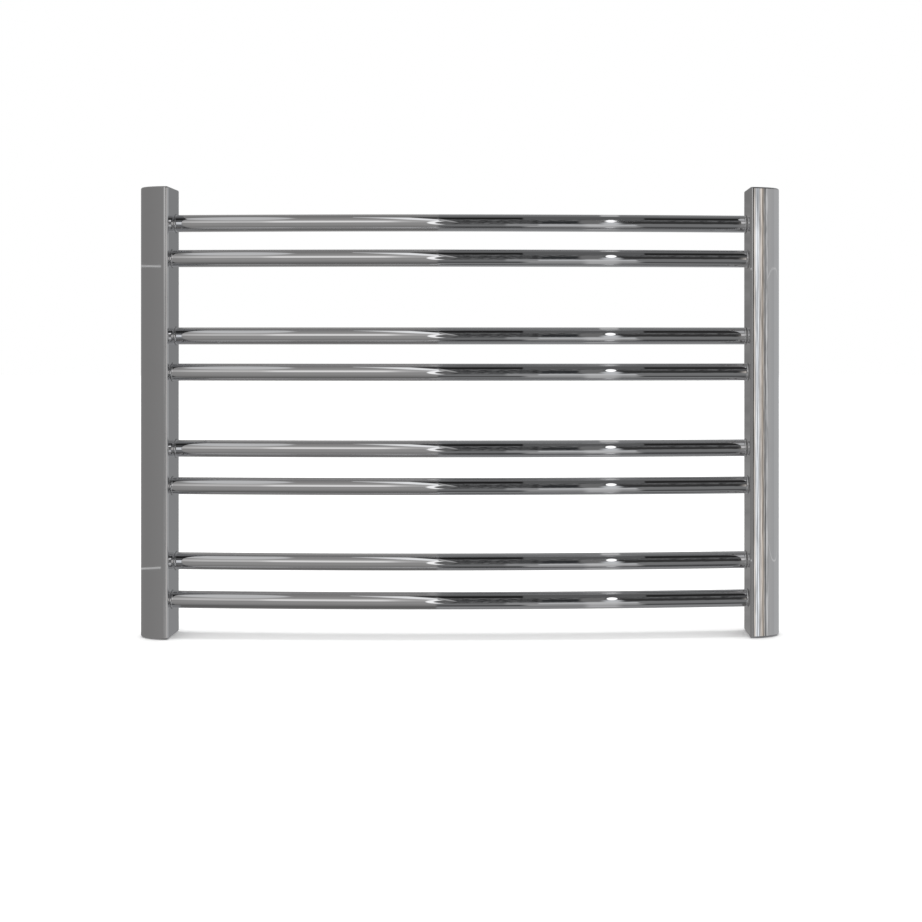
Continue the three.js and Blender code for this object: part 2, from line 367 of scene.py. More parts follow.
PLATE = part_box("end_plate_top_right")[1].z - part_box("end_plate_top_right")[0].z
upright_end = rack_high.z - PLATE
bores = [tube_bore(name) for name in TUBE_NAMES]
heights = np.concatenate([[-upright_end], *[bore["rows"] for bore in reversed(bores)], [upright_end]])

for side, sign in SIDES.items():
    skin = Skin()
    outside, inside = d_wall(0), d_wall(-UPRIGHT_WALL)
    skin.surface(outside, SECTION_WALK, heights, 1, bores)
    skin.surface(inside, SECTION_WALK, heights, -1, bores)
    for bore in bores:
        rims = [outside(*rim_of(bore)), inside(*rim_of(bore))]
        skin.lining(rims, rims[0].mean(0), 0)
    for end in (-upright_end, upright_end):
        skin.grid([outside(SECTION_WALK, end), inside(SECTION_WALK, end)], (0, 0, np.sign(end)))
    fit(skin, f"upright_{side}", "polished", upright_chrome, sign)

# ---- End plates -----------------------------------------------------------------------------------
# Steel plates close both ends of each upright. They are brazed in, and their outer edge is dressed
# round before polishing. The bottom plates are bored for the water inlets.

EDGE_EASE = 0.0016
QUARTER_TURN = np.linspace(0, math.pi / 2, 7)
inlet_low, inlet_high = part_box("inlet_socket_right")
INLET_RADIUS = (inlet_high.y - inlet_low.y) / 2
inlet_x = (inlet_high.x + inlet_low.x) / 2
inlet_hole = INLET_RADIUS + 0.0001


def plate_edge(t, lift):
    """The rounded rim of a plate: lift runs from 0 at the side to a quarter turn at the face."""
    x, y = d_section(t, EDGE_EASE * (np.cos(lift) - 1))
    return np.stack([x, y, rack_high.z - EDGE_EASE * (1 - np.sin(lift))], -1)


def plate_face(z, grow):
    """A flat face that runs from the D outline to the hole for a water inlet in it."""

    def place(t, share):
        x, y = d_section(t, grow)
        angle = np.arctan2(y - MIDDLE_Y, x - inlet_x)
        hole_x = inlet_x + inlet_hole * np.cos(angle)
        hole_y = MIDDLE_Y + inlet_hole * np.sin(angle)
        return np.stack([x + (hole_x - x) * share, y + (hole_y - y) * share, z + 0 * x], -1)

    return place


for side, level in CORNERS:
    skin = Skin()
    skin.surface(d_wall(0), SECTION_WALK, [upright_end, rack_high.z - EDGE_EASE])
    skin.surface(plate_edge, SECTION_WALK, QUARTER_TURN)
    for z, grow, facing in [(upright_end, 0, -1), (rack_high.z, -EDGE_EASE, 1)]:
        face = plate_face(z, grow)
        if level == "bottom":
            skin.grid([face(SECTION_WALK, 0.0), face(SECTION_WALK, 1.0)], (0, 0, facing))
        else:
            skin.add(face(SECTION_WALK[:-1], 0.0)[None], (0, 0, facing))
    if level == "bottom":
        rims = [plate_face(z, 0)(SECTION_WALK, 1.0) for z in (upright_end, rack_high.z)]
        skin.lining(rims, (inlet_x, MIDDLE_Y, 0), 2)
    fit(skin, f"end_plate_{level}_{side}", "polished", upright_chrome, SIDES[side], LEVELS[level])

# ---- Water inlets ---------------------------------------------------------------------------------
# A turned steel socket is brazed into each bottom plate. Inside it has a half inch parallel pipe
# thread, cut before chroming and left bare, which the tail of a radiator valve screws into.

AXIS_ORDER = {"Y": [0, 2, 1], "Z": [0, 1, 2]}
TINY = 1e-7


def polar(angle, radius, height, axis="Y"):
    """The point at that angle and radius round an axis, and at that height along it."""
    point = np.stack([radius * np.cos(angle), radius * np.sin(angle), height + 0 * angle], -1)
    return point[..., AXIS_ORDER[axis]]


def eased_edges(profile, gaps):
    """The edges of an outline of (radius, height, easing), with a normal at both ends of each edge.

    The outline is closed, but for the straight edge after each corner whose number is in gaps.
    """
    corners = np.array([corner[:2] for corner in profile], float)
    easing = [corner[2] if len(corner) > 2 else 0.0 for corner in profile]
    along = np.roll(corners, -1, axis=0) - corners
    along /= np.linalg.norm(along, axis=1, keepdims=True)
    after_corner = np.roll(corners, -1, axis=0)
    area = np.sum(corners[:, 0] * after_corner[:, 1] - after_corner[:, 0] * corners[:, 1])
    side = 1 if area > 0 else -1
    outward = side * np.stack([along[:, 1], -along[:, 0]], 1)
    arcs = []
    for i, corner in enumerate(corners):
        before, after = outward[i - 1], outward[i]
        turn = math.atan2(before[0] * after[1] - before[1] * after[0], before @ after)
        if easing[i] == 0:
            arcs.append([(corner, before), (corner, after)])
            continue
        bulge = 1 if turn * side > 0 else -1
        start = corner - along[i - 1] * easing[i] * math.tan(abs(turn) / 2)
        centre = start - before * easing[i] * bulge
        first = math.atan2(before[1], before[0])
        angles = first + turn * np.linspace(0, 1, 5)
        normals = np.stack([np.cos(angles), np.sin(angles)], 1)
        arcs.append([(centre + n * easing[i] * bulge, n) for n in normals])
    edges = []
    for i, arc in enumerate(arcs):
        edges += zip(arc[:-1], arc[1:])
        if i not in gaps:
            edges.append((arc[-1], arcs[(i + 1) % len(arcs)][0]))
    return [edge for edge in edges if np.linalg.norm(edge[0][0] - edge[1][0]) > TINY]


def turned(skin, profile, origin, axis="Y", segments=48, lowest=None, gaps=()):
    """Turns an outline about an axis through origin. lowest(x) lifts the points that lie under it."""
    angle = full_turn(segments)
    for edge in eased_edges(profile, gaps):
        if edge[0][0][0] < TINY and edge[1][0][0] < TINY:
            continue
        points, normals = [], []
        for (radius, height), (out, up) in edge:
            if lowest:
                height = np.maximum(height, lowest(radius * np.cos(angle)))
            points.append(origin + polar(angle, radius, height, axis))
            normals.append(polar(angle, out, up, axis))
        points, normals = np.array(points), np.array(normals)
        tip = [row for row in (0, 1) if edge[row][0][0] < TINY]
        if tip:
            ring = 1 - tip[0]
            corners = np.stack([points[ring, :-1], points[ring, 1:], points[tip[0], 1:]], 1)
            outs = np.stack([normals[ring, :-1], normals[ring, 1:], normals[ring, 1:]], 1)
            skin.add(corners, outs)
        else:
            skin.grid(points, normals)


def thread(skin, radius, depth, pitch, start, end, origin, axis="Y", outward=1, segments=48):
    """A screw thread between two heights, from its base radius outwards by depth, fading in and out."""

    def place(angle, height):
        phase = height / pitch - angle / (2 * math.pi)
        wave = 0.5 + 0.5 * np.cos(2 * math.pi * phase)
        fade = np.clip((height - start) / pitch, 0, 1) * np.clip((end - height) / pitch, 0, 1)
        return origin + polar(angle, radius + depth * wave * fade, height, axis)

    rows = int((end - start) / pitch * 10) + 1
    skin.surface(place, full_turn(segments), np.linspace(start, end, rows), outward)


def turned_steel(name, tone, roughness, ring_scale, axis):
    """Bright turned steel: fine tool rings round its axis, with darker oil left between them."""
    material, position, fill = new_material(name)
    squeeze = [0.04, 0.04, 0.04]
    squeeze[axis] = 1.0
    rings = position.noise(ring_scale, 3, 0.7, tuple(squeeze))
    stain = position.noise(160, 4, 0.6).rise(0.45, 0.72)
    dark = tuple(channel * 0.62 for channel in tone)
    shade = stain.mix((*tone, 1), (*dark, 1))
    rough = rings.rise(0.3, 0.7, roughness - 0.07, roughness + 0.07) + stain * 0.12
    fill(base_color=shade, metallic=1.0, roughness=rough, normal=rings.bump(0.55, 0.00005))
    return material


socket_steel = turned_steel("turned_socket_steel", (0.60, 0.60, 0.61), 0.27, 2600, 2)
INLET_BORE, INLET_LEAD = 0.0093, 0.0012
INLET_PITCH, INLET_THREAD = 0.001814, 0.00110
PROUD = 0.00002  # how far the root of a thread stands clear of the plain wall behind it
inlet_length = inlet_high.z - inlet_low.z
run_in, run_out = 0.0006, inlet_length - 0.0006
socket_profile = [
    (INLET_BORE + INLET_LEAD, 0, 0.0002),
    (INLET_RADIUS, 0, 0.0002),
    (INLET_RADIUS, run_out),
    (INLET_RADIUS, inlet_length, 0.0003),
    (INLET_BORE, inlet_length),
    (INLET_BORE, run_out),
    (INLET_BORE, run_in),
]
origin = np.array([inlet_x, MIDDLE_Y, inlet_low.z])
for side, sign in SIDES.items():
    skin = Skin()
    turned(skin, socket_profile, origin, "Z", 64)
    thread(skin, INLET_BORE - PROUD, INLET_THREAD, INLET_PITCH, run_in, run_out, origin, "Z", -1, 64)
    fit(skin, f"inlet_socket_{side}", "threaded", socket_steel, sign)

# ---- Heating tubes --------------------------------------------------------------------------------
# Eight round steel tubes, bowed forward a little, stand in four staggered pairs. Their ends go in
# through the flat faces of the uprights and stay open, so that warm water runs through them.

TUBE_WALL = 0.0012
for name in TUBE_NAMES:
    radius, z, middle_y, end_y, reach = tube_measures(name)

    def bowed(tube_radius):
        def place(angle, x):
            y = middle_y + (end_y - middle_y) * (x / reach) ** 2
            slope = 2 * (end_y - middle_y) * x / reach**2
            forward = 1 / np.sqrt(1 + slope**2)
            out = tube_radius * np.cos(angle)
            rise = tube_radius * np.sin(angle)
            return np.stack([x - out * slope * forward, y + out * forward, z + rise], -1)

        return place

    skin = Skin()
    outside, inside = bowed(radius), bowed(radius - TUBE_WALL)
    angles = full_turn(56)
    stations = np.linspace(-reach, reach, 97)
    skin.surface(outside, angles, stations, -1)
    skin.surface(inside, angles[::4], stations[::4], 1)
    for end in (-reach, reach):
        skin.grid([outside(angles, end), inside(angles, end)], (np.sign(end), 0, 0), flat=True)
    fit(skin, f"tube_{name}", "polished", rack_chrome)

# ---- Braze rings ----------------------------------------------------------------------------------
# A small fillet of braze runs round each tube where it meets the upright. It is wiped by hand, so
# its edge wanders slightly, and it is chromed over with the rest.


def braze_chrome_with_painted_shade(name):
    """Pitted chrome over braze, painted darker than the polished steel as shade in the joint; near black
    in the pits, with soot and painted shade.
    """
    material, position, fill = new_material(name)
    pits = position.noise(900, 4, 0.65).rise(0.42, 0.66)
    lumps = position.noise(310, 3)
    height = lumps + pits * 0.25
    # Painted shade in the joint: a darker grey than the polished steel, near black in the pits, where soot
    # also sits.
    tone = pits.mix((0.46, 0.46, 0.47, 1), (0.10, 0.095, 0.09, 1))
    fill(base_color=tone, metallic=1.0, roughness=pits * 0.30 + 0.10, normal=height.bump(0.8, 0.0002))
    return material


# The braze chrome is painted darker than the rest, as painted shade where each tube meets its upright.
braze_shaded_chrome = braze_chrome_with_painted_shade("brazed_chrome_painted_shade")
FILLET, OVERLAP = 0.0011, 0.00005
for index, name in enumerate(TUBE_NAMES):
    radius, z, _, end_y, reach = tube_measures(name)
    for side, sign in SIDES.items():

        def fillet(angle, lift):
            hand = 1 + 0.10 * np.sin(3 * angle + index) + 0.07 * np.sin(7 * angle + 2 * index + sign)
            out = radius - OVERLAP + FILLET * hand * (1 - np.sin(lift))
            x = FLAT_X - FILLET * hand * (1 - np.cos(lift))
            return np.stack([x, end_y + out * np.cos(angle), z + out * np.sin(angle)], -1)

        skin = Skin()
        angles = full_turn(56)
        skin.surface(fillet, angles, QUARTER_TURN, -1)
        foot = np.array([fillet(angles, 0.0), fillet(angles, math.pi / 2)])
        foot[1, :, 0] = FLAT_X
        skin.grid(foot, (1, 0, 0))
        fit(skin, f"braze_{name}_{side}", "wiped", braze_shaded_chrome, sign)

# ---- Port bosses ----------------------------------------------------------------------------------
# A boss with an eighth inch pipe thread is brazed to the back of each upright near the top.
# Its foot is shaped to the curve, and its mouth is faced flat for a sealing ring.


SUNK = 0.0003  # how far a brazed foot is sunk into the upright


def back_of_upright(origin):
    """How far the curved back of the upright stands behind a point, as a function of the x from there."""

    def lowest(x):
        share = np.clip((origin[0] + x - FLAT_X) / DEPTH, 0.02, 0.995)
        return MIDDLE_Y + HALF_FACE * np.sqrt(1 - share**2) - origin[1] - SUNK

    return lowest


def foot_fillet(skin, radius, size, origin):
    """The wiped braze where a round post meets the curve of the upright."""
    lowest = back_of_upright(origin)

    def place(angle, lift):
        out = radius + size * (1 - np.sin(lift))
        foot = lowest(out * np.cos(angle)) + SUNK - 0.0001
        return origin + polar(angle, out, foot + size * (1 - np.cos(lift)))

    skin.surface(place, full_turn(48), QUARTER_TURN)


def on_axis(low, high, y):
    """The point at that y on the front-to-back axis of a box."""
    return np.array([(low.x + high.x) / 2, y, (low.z + high.z) / 2])


PORT_BORE, PORT_CHAMFER, PORT_FILLET = 0.0044, 0.0006, 0.0009
low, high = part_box("port_boss_right")
origin = on_axis(low, high, low.y)
radius, length = (high.z - low.z) / 2, high.y - low.y
boss_profile = [
    (PORT_BORE, 0),
    (radius, 0),
    (radius, length, 0.0006),
    (PORT_BORE + PORT_CHAMFER, length, 0.0002),
    (PORT_BORE, length - PORT_CHAMFER),
]
for side, sign in SIDES.items():
    skin = Skin()
    turned(skin, boss_profile, origin, lowest=back_of_upright(origin))
    foot_fillet(skin, radius, PORT_FILLET, origin)
    fit(skin, f"port_boss_{side}", "brazed", upright_chrome, sign)

# ---- Bracket posts --------------------------------------------------------------------------------
# Four turned brass posts are brazed to the backs of the uprights. Each has a collar at its foot and
# a plain spigot that slides into a cup on the wall, which sets how far the rack stands off.

bracket_chrome = chrome("bracket_chrome_plate", (0.76, 0.76, 0.77), 0.10, (1, 0.3, 1), 120)
SPIGOT, SPIGOT_CHAMFER = 0.0055, 0.0008
COLLAR_LENGTH, COLLAR_GROOVE, POST_FILLET = 0.003, 0.0006, 0.0008
for side, level in CORNERS:
    low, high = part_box(f"bracket_post_{level}_right")
    origin = on_axis(low, high, MIDDLE_Y)
    collar = (high.z - low.z) / 2
    end = high.y - MIDDLE_Y
    shoulder = upright_high.y - MIDDLE_Y + COLLAR_LENGTH
    post_profile = [
        (0, 0),
        (collar, 0),
        (collar, shoulder - 0.0022, 0.0004),
        (collar - COLLAR_GROOVE, shoulder - 0.0016, 0.0003),
        (collar - COLLAR_GROOVE, shoulder - 0.0010, 0.0003),
        (collar, shoulder - 0.0006, 0.0003),
        (collar, shoulder, 0.0006),
        (SPIGOT, shoulder, 0.0004),
        (SPIGOT, end - SPIGOT_CHAMFER, 0.0002),
        (SPIGOT - SPIGOT_CHAMFER, end, 0.0002),
        (0, end),
    ]
    skin = Skin()
    turned(skin, post_profile, origin, lowest=back_of_upright(origin))
    foot_fillet(skin, collar, POST_FILLET, origin)
    fit(skin, f"bracket_post_{level}_{side}", "turned", bracket_chrome, SIDES[side])

# ---- Wall cups ------------------------------------------------------------------------------------
# Four turned brass cups are screwed to the wall and take the posts. A tapped hole in the underside
# of each takes the grub screw that locks its post.

CUP_BORE, CUP_BASE, CUP_SCREW_HOLE = 0.0059, 0.0040, 0.0026
LIP_OUT, LIP_IN, BASE_EASE = 0.0010, 0.0005, 0.0004
GRUB_RADIUS, GRUB_CLEARANCE = 0.0020, 0.00015
HOLE_ROOM = 0.0034


def cup_wall(origin, radius):
    """The round wall of a cup as a surface over the angle and the distance from the wall."""
    return lambda angle, y: origin + polar(angle, radius, y)


def grub_hole(hole_y, wall_radius):
    """The hole for the grub screw in the underside of a cup wall of that radius."""
    clear = GRUB_RADIUS + GRUB_CLEARANCE
    return {
        "u": 4 * math.pi / 3,
        "v": hole_y - HOLE_ROOM,
        "centre_u": 1.5 * math.pi,
        "centre_v": hole_y,
        "radius_u": clear / wall_radius,
        "radius_v": clear,
    }


for side, level in CORNERS:
    low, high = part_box(f"wall_cup_{level}_right")
    grub_low, grub_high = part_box(f"grub_screw_{level}_right")
    origin = on_axis(low, high, high.y)
    radius, mouth = (high.z - low.z) / 2, low.y - high.y
    hole_y = (grub_low.y + grub_high.y) / 2 - high.y
    block = np.linspace(hole_y - HOLE_ROOM, hole_y + HOLE_ROOM, SPAN + 1)
    outer_wall = (radius, mouth + LIP_OUT, -BASE_EASE, -1)
    inner_wall = (CUP_BORE, mouth + LIP_IN, -CUP_BASE, 1)
    skin = Skin()
    rims = []
    for wall_radius, start, end, outward in (outer_wall, inner_wall):
        wall, hole = cup_wall(origin, wall_radius), grub_hole(hole_y, wall_radius)
        skin.surface(wall, full_turn(48), [start, *block, end], outward, [hole])
        rims.append(wall(*rim_of(hole)))
    skin.lining(rims, origin + (0, hole_y, 0), 2)
    cup_profile = [
        (CUP_BORE, mouth + LIP_IN),
        (CUP_BORE + LIP_IN, mouth, 0.0002),
        (radius - LIP_OUT, mouth, 0.0004),
        (radius, mouth + LIP_OUT, 0.0004),
        (radius, -BASE_EASE),
        (radius - BASE_EASE, 0),
        (CUP_SCREW_HOLE, 0),
        (CUP_SCREW_HOLE, -CUP_BASE),
        (CUP_BORE, -CUP_BASE),
    ]
    turned(skin, cup_profile, origin, gaps=(3, 8))
    fit(skin, f"wall_cup_{level}_{side}", "turned", bracket_chrome, SIDES[side])

# ---- Wall screws ----------------------------------------------------------------------------------
# One zinc-plated screw with a hexagon socket holds each cup to the wall. Its coarse thread ends in
# a gimlet point.


def zinc(name):
    """Bright zinc plate: slightly blue, with a soft bloom and a few duller patches."""
    material, position, fill = new_material(name)
    bloom = position.noise(420, 4, 0.6).rise(0.35, 0.70)
    patches = position.noise(120, 2).rise(0.50, 0.66)
    tone = patches.mix((0.62, 0.65, 0.69, 1), (0.54, 0.54, 0.53, 1))
    rough = bloom * 0.16 + patches * 0.08 + 0.22
    fill(base_color=tone, metallic=1.0, roughness=rough, normal=bloom.bump(0.35, 0.00003))
    return material


def hexagon(angle, across):
    """The radius of a hexagon of that width across its flats; the middle of one flat is at angle 0."""
    return across / 2 / np.cos((angle + math.pi / 6) % (math.pi / 3) - math.pi / 6)


def hexagon_socket(skin, across, face_radius, face, bottom, origin, axis="Y", segments=48):
    """A hexagon socket in a flat face: the face round it, its six walls and its floor."""
    angle = full_turn(segments)
    side = hexagon(angle, across)
    upward = np.array([0, 0, np.sign(face - bottom)])[AXIS_ORDER[axis]]
    drilled_deeper = (bottom - face) * 0.12

    def ring(radius, height):
        return origin + polar(angle, radius, height, axis)

    skin.grid([ring(face_radius, face), ring(side, face)], upward)
    skin.grid([ring(side, face), ring(side, bottom)], polar(angle, -1, 0, axis), flat=True)
    floor, middle = ring(side, bottom), ring(0, bottom + drilled_deeper)
    skin.add(np.stack([floor[:-1], floor[1:], middle[1:]], 1), upward, flat=True)


screw_zinc = zinc("bright_zinc_plate")
HEAD_RADIUS, HEAD_HEIGHT = 0.0046, 0.0027
HEAD_FACE = HEAD_RADIUS * 0.7 - 0.0003
HEAD_SOCKET, SOCKET_DEPTH, HEAD_HOLE = 0.0030, 0.0016, 0.0010
SCREW_CORE, SCREW_THREAD, SCREW_PITCH = 0.0015, 0.0007, 0.0021
NECK, TIP_LENGTH = 0.0048, 0.006
head_profile = [
    (HEAD_HOLE, 0),
    (HEAD_RADIUS, 0, 0.0002),
    (HEAD_RADIUS, -HEAD_HEIGHT * 0.45, 0.0008),
    (HEAD_RADIUS * 0.7, -HEAD_HEIGHT, 0.0003),
    (HEAD_FACE, -HEAD_HEIGHT),
    (HEAD_HOLE, -HEAD_HEIGHT + 0.0005),
]
neck_profile = [
    (0, 0),
    (SCREW_CORE + SCREW_THREAD, 0),
    (SCREW_CORE + SCREW_THREAD, 0.004, 0.0003),
    (SCREW_CORE, NECK),
    (0, NECK),
]
for side, level in CORNERS:
    low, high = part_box(f"wall_screw_{level}_right")
    origin = on_axis(low, high, low.y + HEAD_HEIGHT)
    length = high.y - low.y - HEAD_HEIGHT

    def gimlet(angle, height):
        taper = np.clip((length - height) / TIP_LENGTH, 0.02, 1)
        phase = height / SCREW_PITCH - angle / (2 * math.pi)
        wave = (0.5 + 0.5 * np.cos(2 * math.pi * phase)) ** 3
        fade = np.clip((height - NECK) / SCREW_PITCH, 0, 1)
        reach = (SCREW_CORE + (SCREW_THREAD - 0.00005) * wave * fade) * taper
        return origin + polar(angle, reach, height)

    skin = Skin()
    turned(skin, head_profile, origin, gaps=(4, 5))
    hexagon_socket(skin, HEAD_SOCKET, HEAD_FACE, -HEAD_HEIGHT, -HEAD_HEIGHT + SOCKET_DEPTH, origin)
    turned(skin, neck_profile, origin, gaps=(3,))
    skin.surface(gimlet, full_turn(24), np.linspace(NECK, length, 150), -1)
    fit(skin, f"wall_screw_{level}_{side}", "threaded", screw_zinc, SIDES[side])

# ---- Grub screws ----------------------------------------------------------------------------------
# A short zinc-plated grub screw under each cup is driven up against the post with a hexagon key.

GRUB_THREAD, GRUB_PITCH, GRUB_RUN_IN = 0.00040, 0.0007, 0.0002
GRUB_SOCKET, GRUB_SOCKET_DEPTH = 0.0020, 0.0021
core = GRUB_RADIUS - GRUB_THREAD
for side, level in CORNERS:
    low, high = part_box(f"grub_screw_{level}_right")
    origin = np.array([(low.x + high.x) / 2, (low.y + high.y) / 2, low.z])
    length = high.z - low.z
    end = length - GRUB_THREAD
    cap = [(core, end), (core - GRUB_THREAD, length, 0.0001), (0, length), (0, 0.0030), (core, 0.0030)]
    foot = [(core, GRUB_RUN_IN), (core - GRUB_RUN_IN, 0), (0.0013, 0), (0.0013, GRUB_RUN_IN)]
    skin = Skin()
    thread(skin, core, GRUB_THREAD - PROUD, GRUB_PITCH, GRUB_RUN_IN, end, origin, "Z", 1, 36)
    turned(skin, cap, origin, "Z", 36, gaps=(3, 4))
    turned(skin, foot, origin, "Z", 36, gaps=(1, 2, 3))
    hexagon_socket(skin, GRUB_SOCKET, core - GRUB_RUN_IN, 0, GRUB_SOCKET_DEPTH, origin, "Z", 36)
    fit(skin, f"grub_screw_{level}_{side}", "threaded", screw_zinc, SIDES[side])

# ---- Port seals -----------------------------------------------------------------------------------
# A moulded rubber ring seals each port between the faced boss and the head of the plug or vent.


def rubber(name):
    """Black moulded rubber: matt, with a fine grain and a little dust caught on it."""
    material, position, fill = new_material(name)
    grain = position.noise(1500, 3, 0.6)
    dust = position.noise(260, 5, 0.7).rise(0.56, 0.74)
    tone = dust.mix((0.020, 0.020, 0.021, 1), (0.075, 0.072, 0.066, 1))
    rough = grain.rise(0.3, 0.7, 0.55, 0.75) + dust * 0.1
    fill(base_color=tone, roughness=rough, normal=grain.bump(0.5, 0.00004))
    return material


seal_rubber = rubber("moulded_seal_rubber")
SEAL_HOLE = 0.0046
low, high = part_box("port_seal_right")
radius, thick = (high.z - low.z) / 2, high.y - low.y
bulge = thick * 0.42
for side, sign in SIDES.items():
    skin = Skin()
    corners = [(SEAL_HOLE, 0), (radius, 0), (radius, thick), (SEAL_HOLE, thick)]
    turned(skin, [(*corner, bulge) for corner in corners], on_axis(low, high, low.y))
    fit(skin, f"port_seal_{side}", "moulded", seal_rubber, sign)

# ---- Vent and blanking plug -----------------------------------------------------------------------
# The vent on the left and the plug on the right are nickel-plated brass with hexagon heads. The vent
# is bored for its bleed screw, and a small weep hole in the side lets the air out.


def nickel(name):
    """Nickel plate on brass: warm grey, softly brushed, with a trace of brass where it has worn."""
    material, position, fill = new_material(name)
    brushing = position.noise(1400, 3, 0.7, (0.12, 1, 0.12))
    wear = position.noise(330, 5, 0.65).rise(0.58, 0.74)
    tone = (wear * 0.5).mix((0.66, 0.63, 0.57, 1), (0.66, 0.52, 0.28, 1))
    rough = brushing.rise(0.3, 0.7, 0.16, 0.28) + wear * 0.08
    fill(base_color=tone, metallic=1.0, roughness=rough, normal=brushing.bump(0.4, 0.00003))
    return material


plug_nickel = nickel("nickel_plated_brass")
ACROSS, HEAD, CHAMFER = 0.013, 0.005, math.tan(math.radians(30))
SHANK, SHANK_LENGTH, SHANK_THREAD, SHANK_PITCH = 0.0041, 0.0078, 0.0006, 0.000907
SHANK_CORE = SHANK - SHANK_THREAD
BLEED_BORE, BLEED_DEPTH, WATERWAY = 0.0027, 0.007, 0.0011
WEEP_RADIUS, WEEP_SHARE, WEEP_ROOM = 0.0008, 0.26, 0.24
PLUG_FACE, PLUG_SOCKET, PLUG_SOCKET_FLOOR = 0.0040, 0.005, 0.001


def hexagon_head(skin, origin, face_radius, weep=()):
    """A chamfered hexagon head with its sealing face at the origin, and the threaded shank under it."""
    angle = full_turn(72)
    corner = hexagon(angle, ACROSS)
    chamfer_from = ACROSS / 2 * 0.96

    def ring(radius, height):
        return origin + polar(angle, radius, height)

    drop = np.maximum(corner - chamfer_from, 0) * CHAMFER
    top, bottom = ring(chamfer_from, HEAD), ring(chamfer_from, 0.0)
    skin.grid([top, ring(corner, HEAD - drop)], polar(angle, 0.5, 0.87))
    skin.grid([bottom, ring(corner, drop)], polar(angle, 0.5, -0.87))

    def wall(turn, share):
        reach = hexagon(turn, ACROSS)
        fall = np.maximum(reach - chamfer_from, 0) * CHAMFER
        return origin + polar(turn, reach, fall + (HEAD - 2 * fall) * share)

    block = np.linspace(WEEP_SHARE - WEEP_ROOM, WEEP_SHARE + WEEP_ROOM, SPAN + 1)
    skin.surface(wall, angle, [0, *block, 1], -1, weep, flat=True)
    for hole in weep:
        rim = wall(*rim_of(hole))
        inner = rim.copy()
        inner[:, 0] = origin[0] - BLEED_BORE
        skin.lining([rim, inner], (rim[0] + rim[2 * SPAN]) / 2, 0)
    skin.grid([top, ring(face_radius, HEAD)], (0, 1, 0))
    skin.grid([bottom, ring(SHANK, 0.0)], (0, -1, 0))
    thread(skin, SHANK_CORE, SHANK_THREAD, SHANK_PITCH, -SHANK_LENGTH, 0.0, origin, outward=-1)


def plug_origin(node):
    """The middle of the sealing face of a vent or a plug."""
    low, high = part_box(node)
    return on_axis(low, high, high.y - HEAD)


weep_hole = {
    "u": math.pi - 4 * math.pi / 36,
    "v": WEEP_SHARE - WEEP_ROOM,
    "centre_u": math.pi,
    "centre_v": WEEP_SHARE,
    "radius_u": WEEP_RADIUS / (ACROSS / 2),
    "radius_v": WEEP_RADIUS / HEAD,
}
origin = plug_origin("vent_body") * (-1, 1, 1)
skin = Skin()
hexagon_head(skin, origin, BLEED_BORE, [weep_hole])
waterway = [
    (BLEED_BORE, HEAD),
    (BLEED_BORE, HEAD - BLEED_DEPTH),
    (WATERWAY, HEAD - BLEED_DEPTH - 0.0012),
    (WATERWAY, -SHANK_LENGTH),
    (SHANK_CORE, -SHANK_LENGTH),
    (SHANK_CORE, HEAD),
]
turned(skin, waterway, origin, gaps=(4, 5))
fit(skin, "vent_body", "plated", plug_nickel, -1)

origin = plug_origin("blanking_plug")
skin = Skin()
hexagon_head(skin, origin, PLUG_FACE)
shank_end = [(0, -SHANK_LENGTH), (SHANK_CORE, -SHANK_LENGTH), (SHANK_CORE, -0.0070), (0, -0.0070)]
turned(skin, shank_end, origin, gaps=(1, 2))
hexagon_socket(skin, PLUG_SOCKET, PLUG_FACE, HEAD, PLUG_SOCKET_FLOOR, origin)
fit(skin, "blanking_plug", "plated", plug_nickel)

# ---- Bleed screw ----------------------------------------------------------------------------------
# The bleed screw closes the vent's waterway with a cone. A square end takes the radiator key.

SCREW_RADIUS, KEY, KEY_LENGTH, KEY_CHAMFER = 0.0024, 0.0034, 0.003, 0.0004
low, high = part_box("bleed_screw")
origin = on_axis(low, high, high.y - KEY_LENGTH - HEAD) * (-1, 1, 1)
tip = HEAD - BLEED_DEPTH + 0.0003
shank_profile = [
    (0, tip),
    (0.0008, tip),
    (SCREW_RADIUS, tip + 0.0014, 0.0002),
    (SCREW_RADIUS, HEAD, 0.0002),
    (0, HEAD),
]
skin = Skin()
turned(skin, shank_profile, origin, segments=36)


def square(angle, across):
    """The radius of a square with softened corners."""
    plain = across / 2 / np.cos((angle + math.pi / 4) % (math.pi / 2) - math.pi / 4)
    return np.minimum(plain, across / 2 * 1.32)


angle = full_turn(72)
key_end = HEAD + KEY_LENGTH
sizes = [(KEY, HEAD - 0.0002), (KEY, key_end - KEY_CHAMFER), (KEY - 2 * KEY_CHAMFER, key_end)]
rings = [origin + polar(angle, square(angle, size), height) for size, height in sizes]
for first, second in zip(rings[:-1], rings[1:]):
    skin.grid([first, second], polar(angle, 1, 0.1), flat=True)
skin.add(rings[-1][None, :-1], (0, 1, 0))
fit(skin, "bleed_screw", "plated", plug_nickel, -1)

# ---- Studio ---------------------------------------------------------------------------------------
# The rack stands on a white sweep under an overhead light. Grey panels, a dark room on the right and
# a bright sheet over it on the left surround the rack, and the chrome shows them as its streaks.

scene = bpy.context.scene
floor_level = rack_low.z - 0.0004
floor_mesh = bpy.data.meshes.new("floor")
REACH = 9.0
floor_corners = [(-REACH, -REACH, floor_level), (REACH, -REACH, floor_level)]
floor_corners += [(REACH, REACH, floor_level), (-REACH, REACH, floor_level)]
floor_mesh.from_pydata(floor_corners, [], [(0, 1, 2, 3)])
floor = bpy.data.objects.new("floor", floor_mesh)
scene.collection.objects.link(floor)
floor.visible_glossy = False
floor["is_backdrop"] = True

floor_paint, floor_position, fill_floor = new_material("white_sweep")
mottle = floor_position.noise(3, 3).rise(0.3, 0.7, 0.86, 0.88)
fill_floor(base_color=mottle.ramp([(0.0, 0.0), (1.0, 1.0)]), roughness=0.9)
floor_mesh.materials.append(floor_paint)

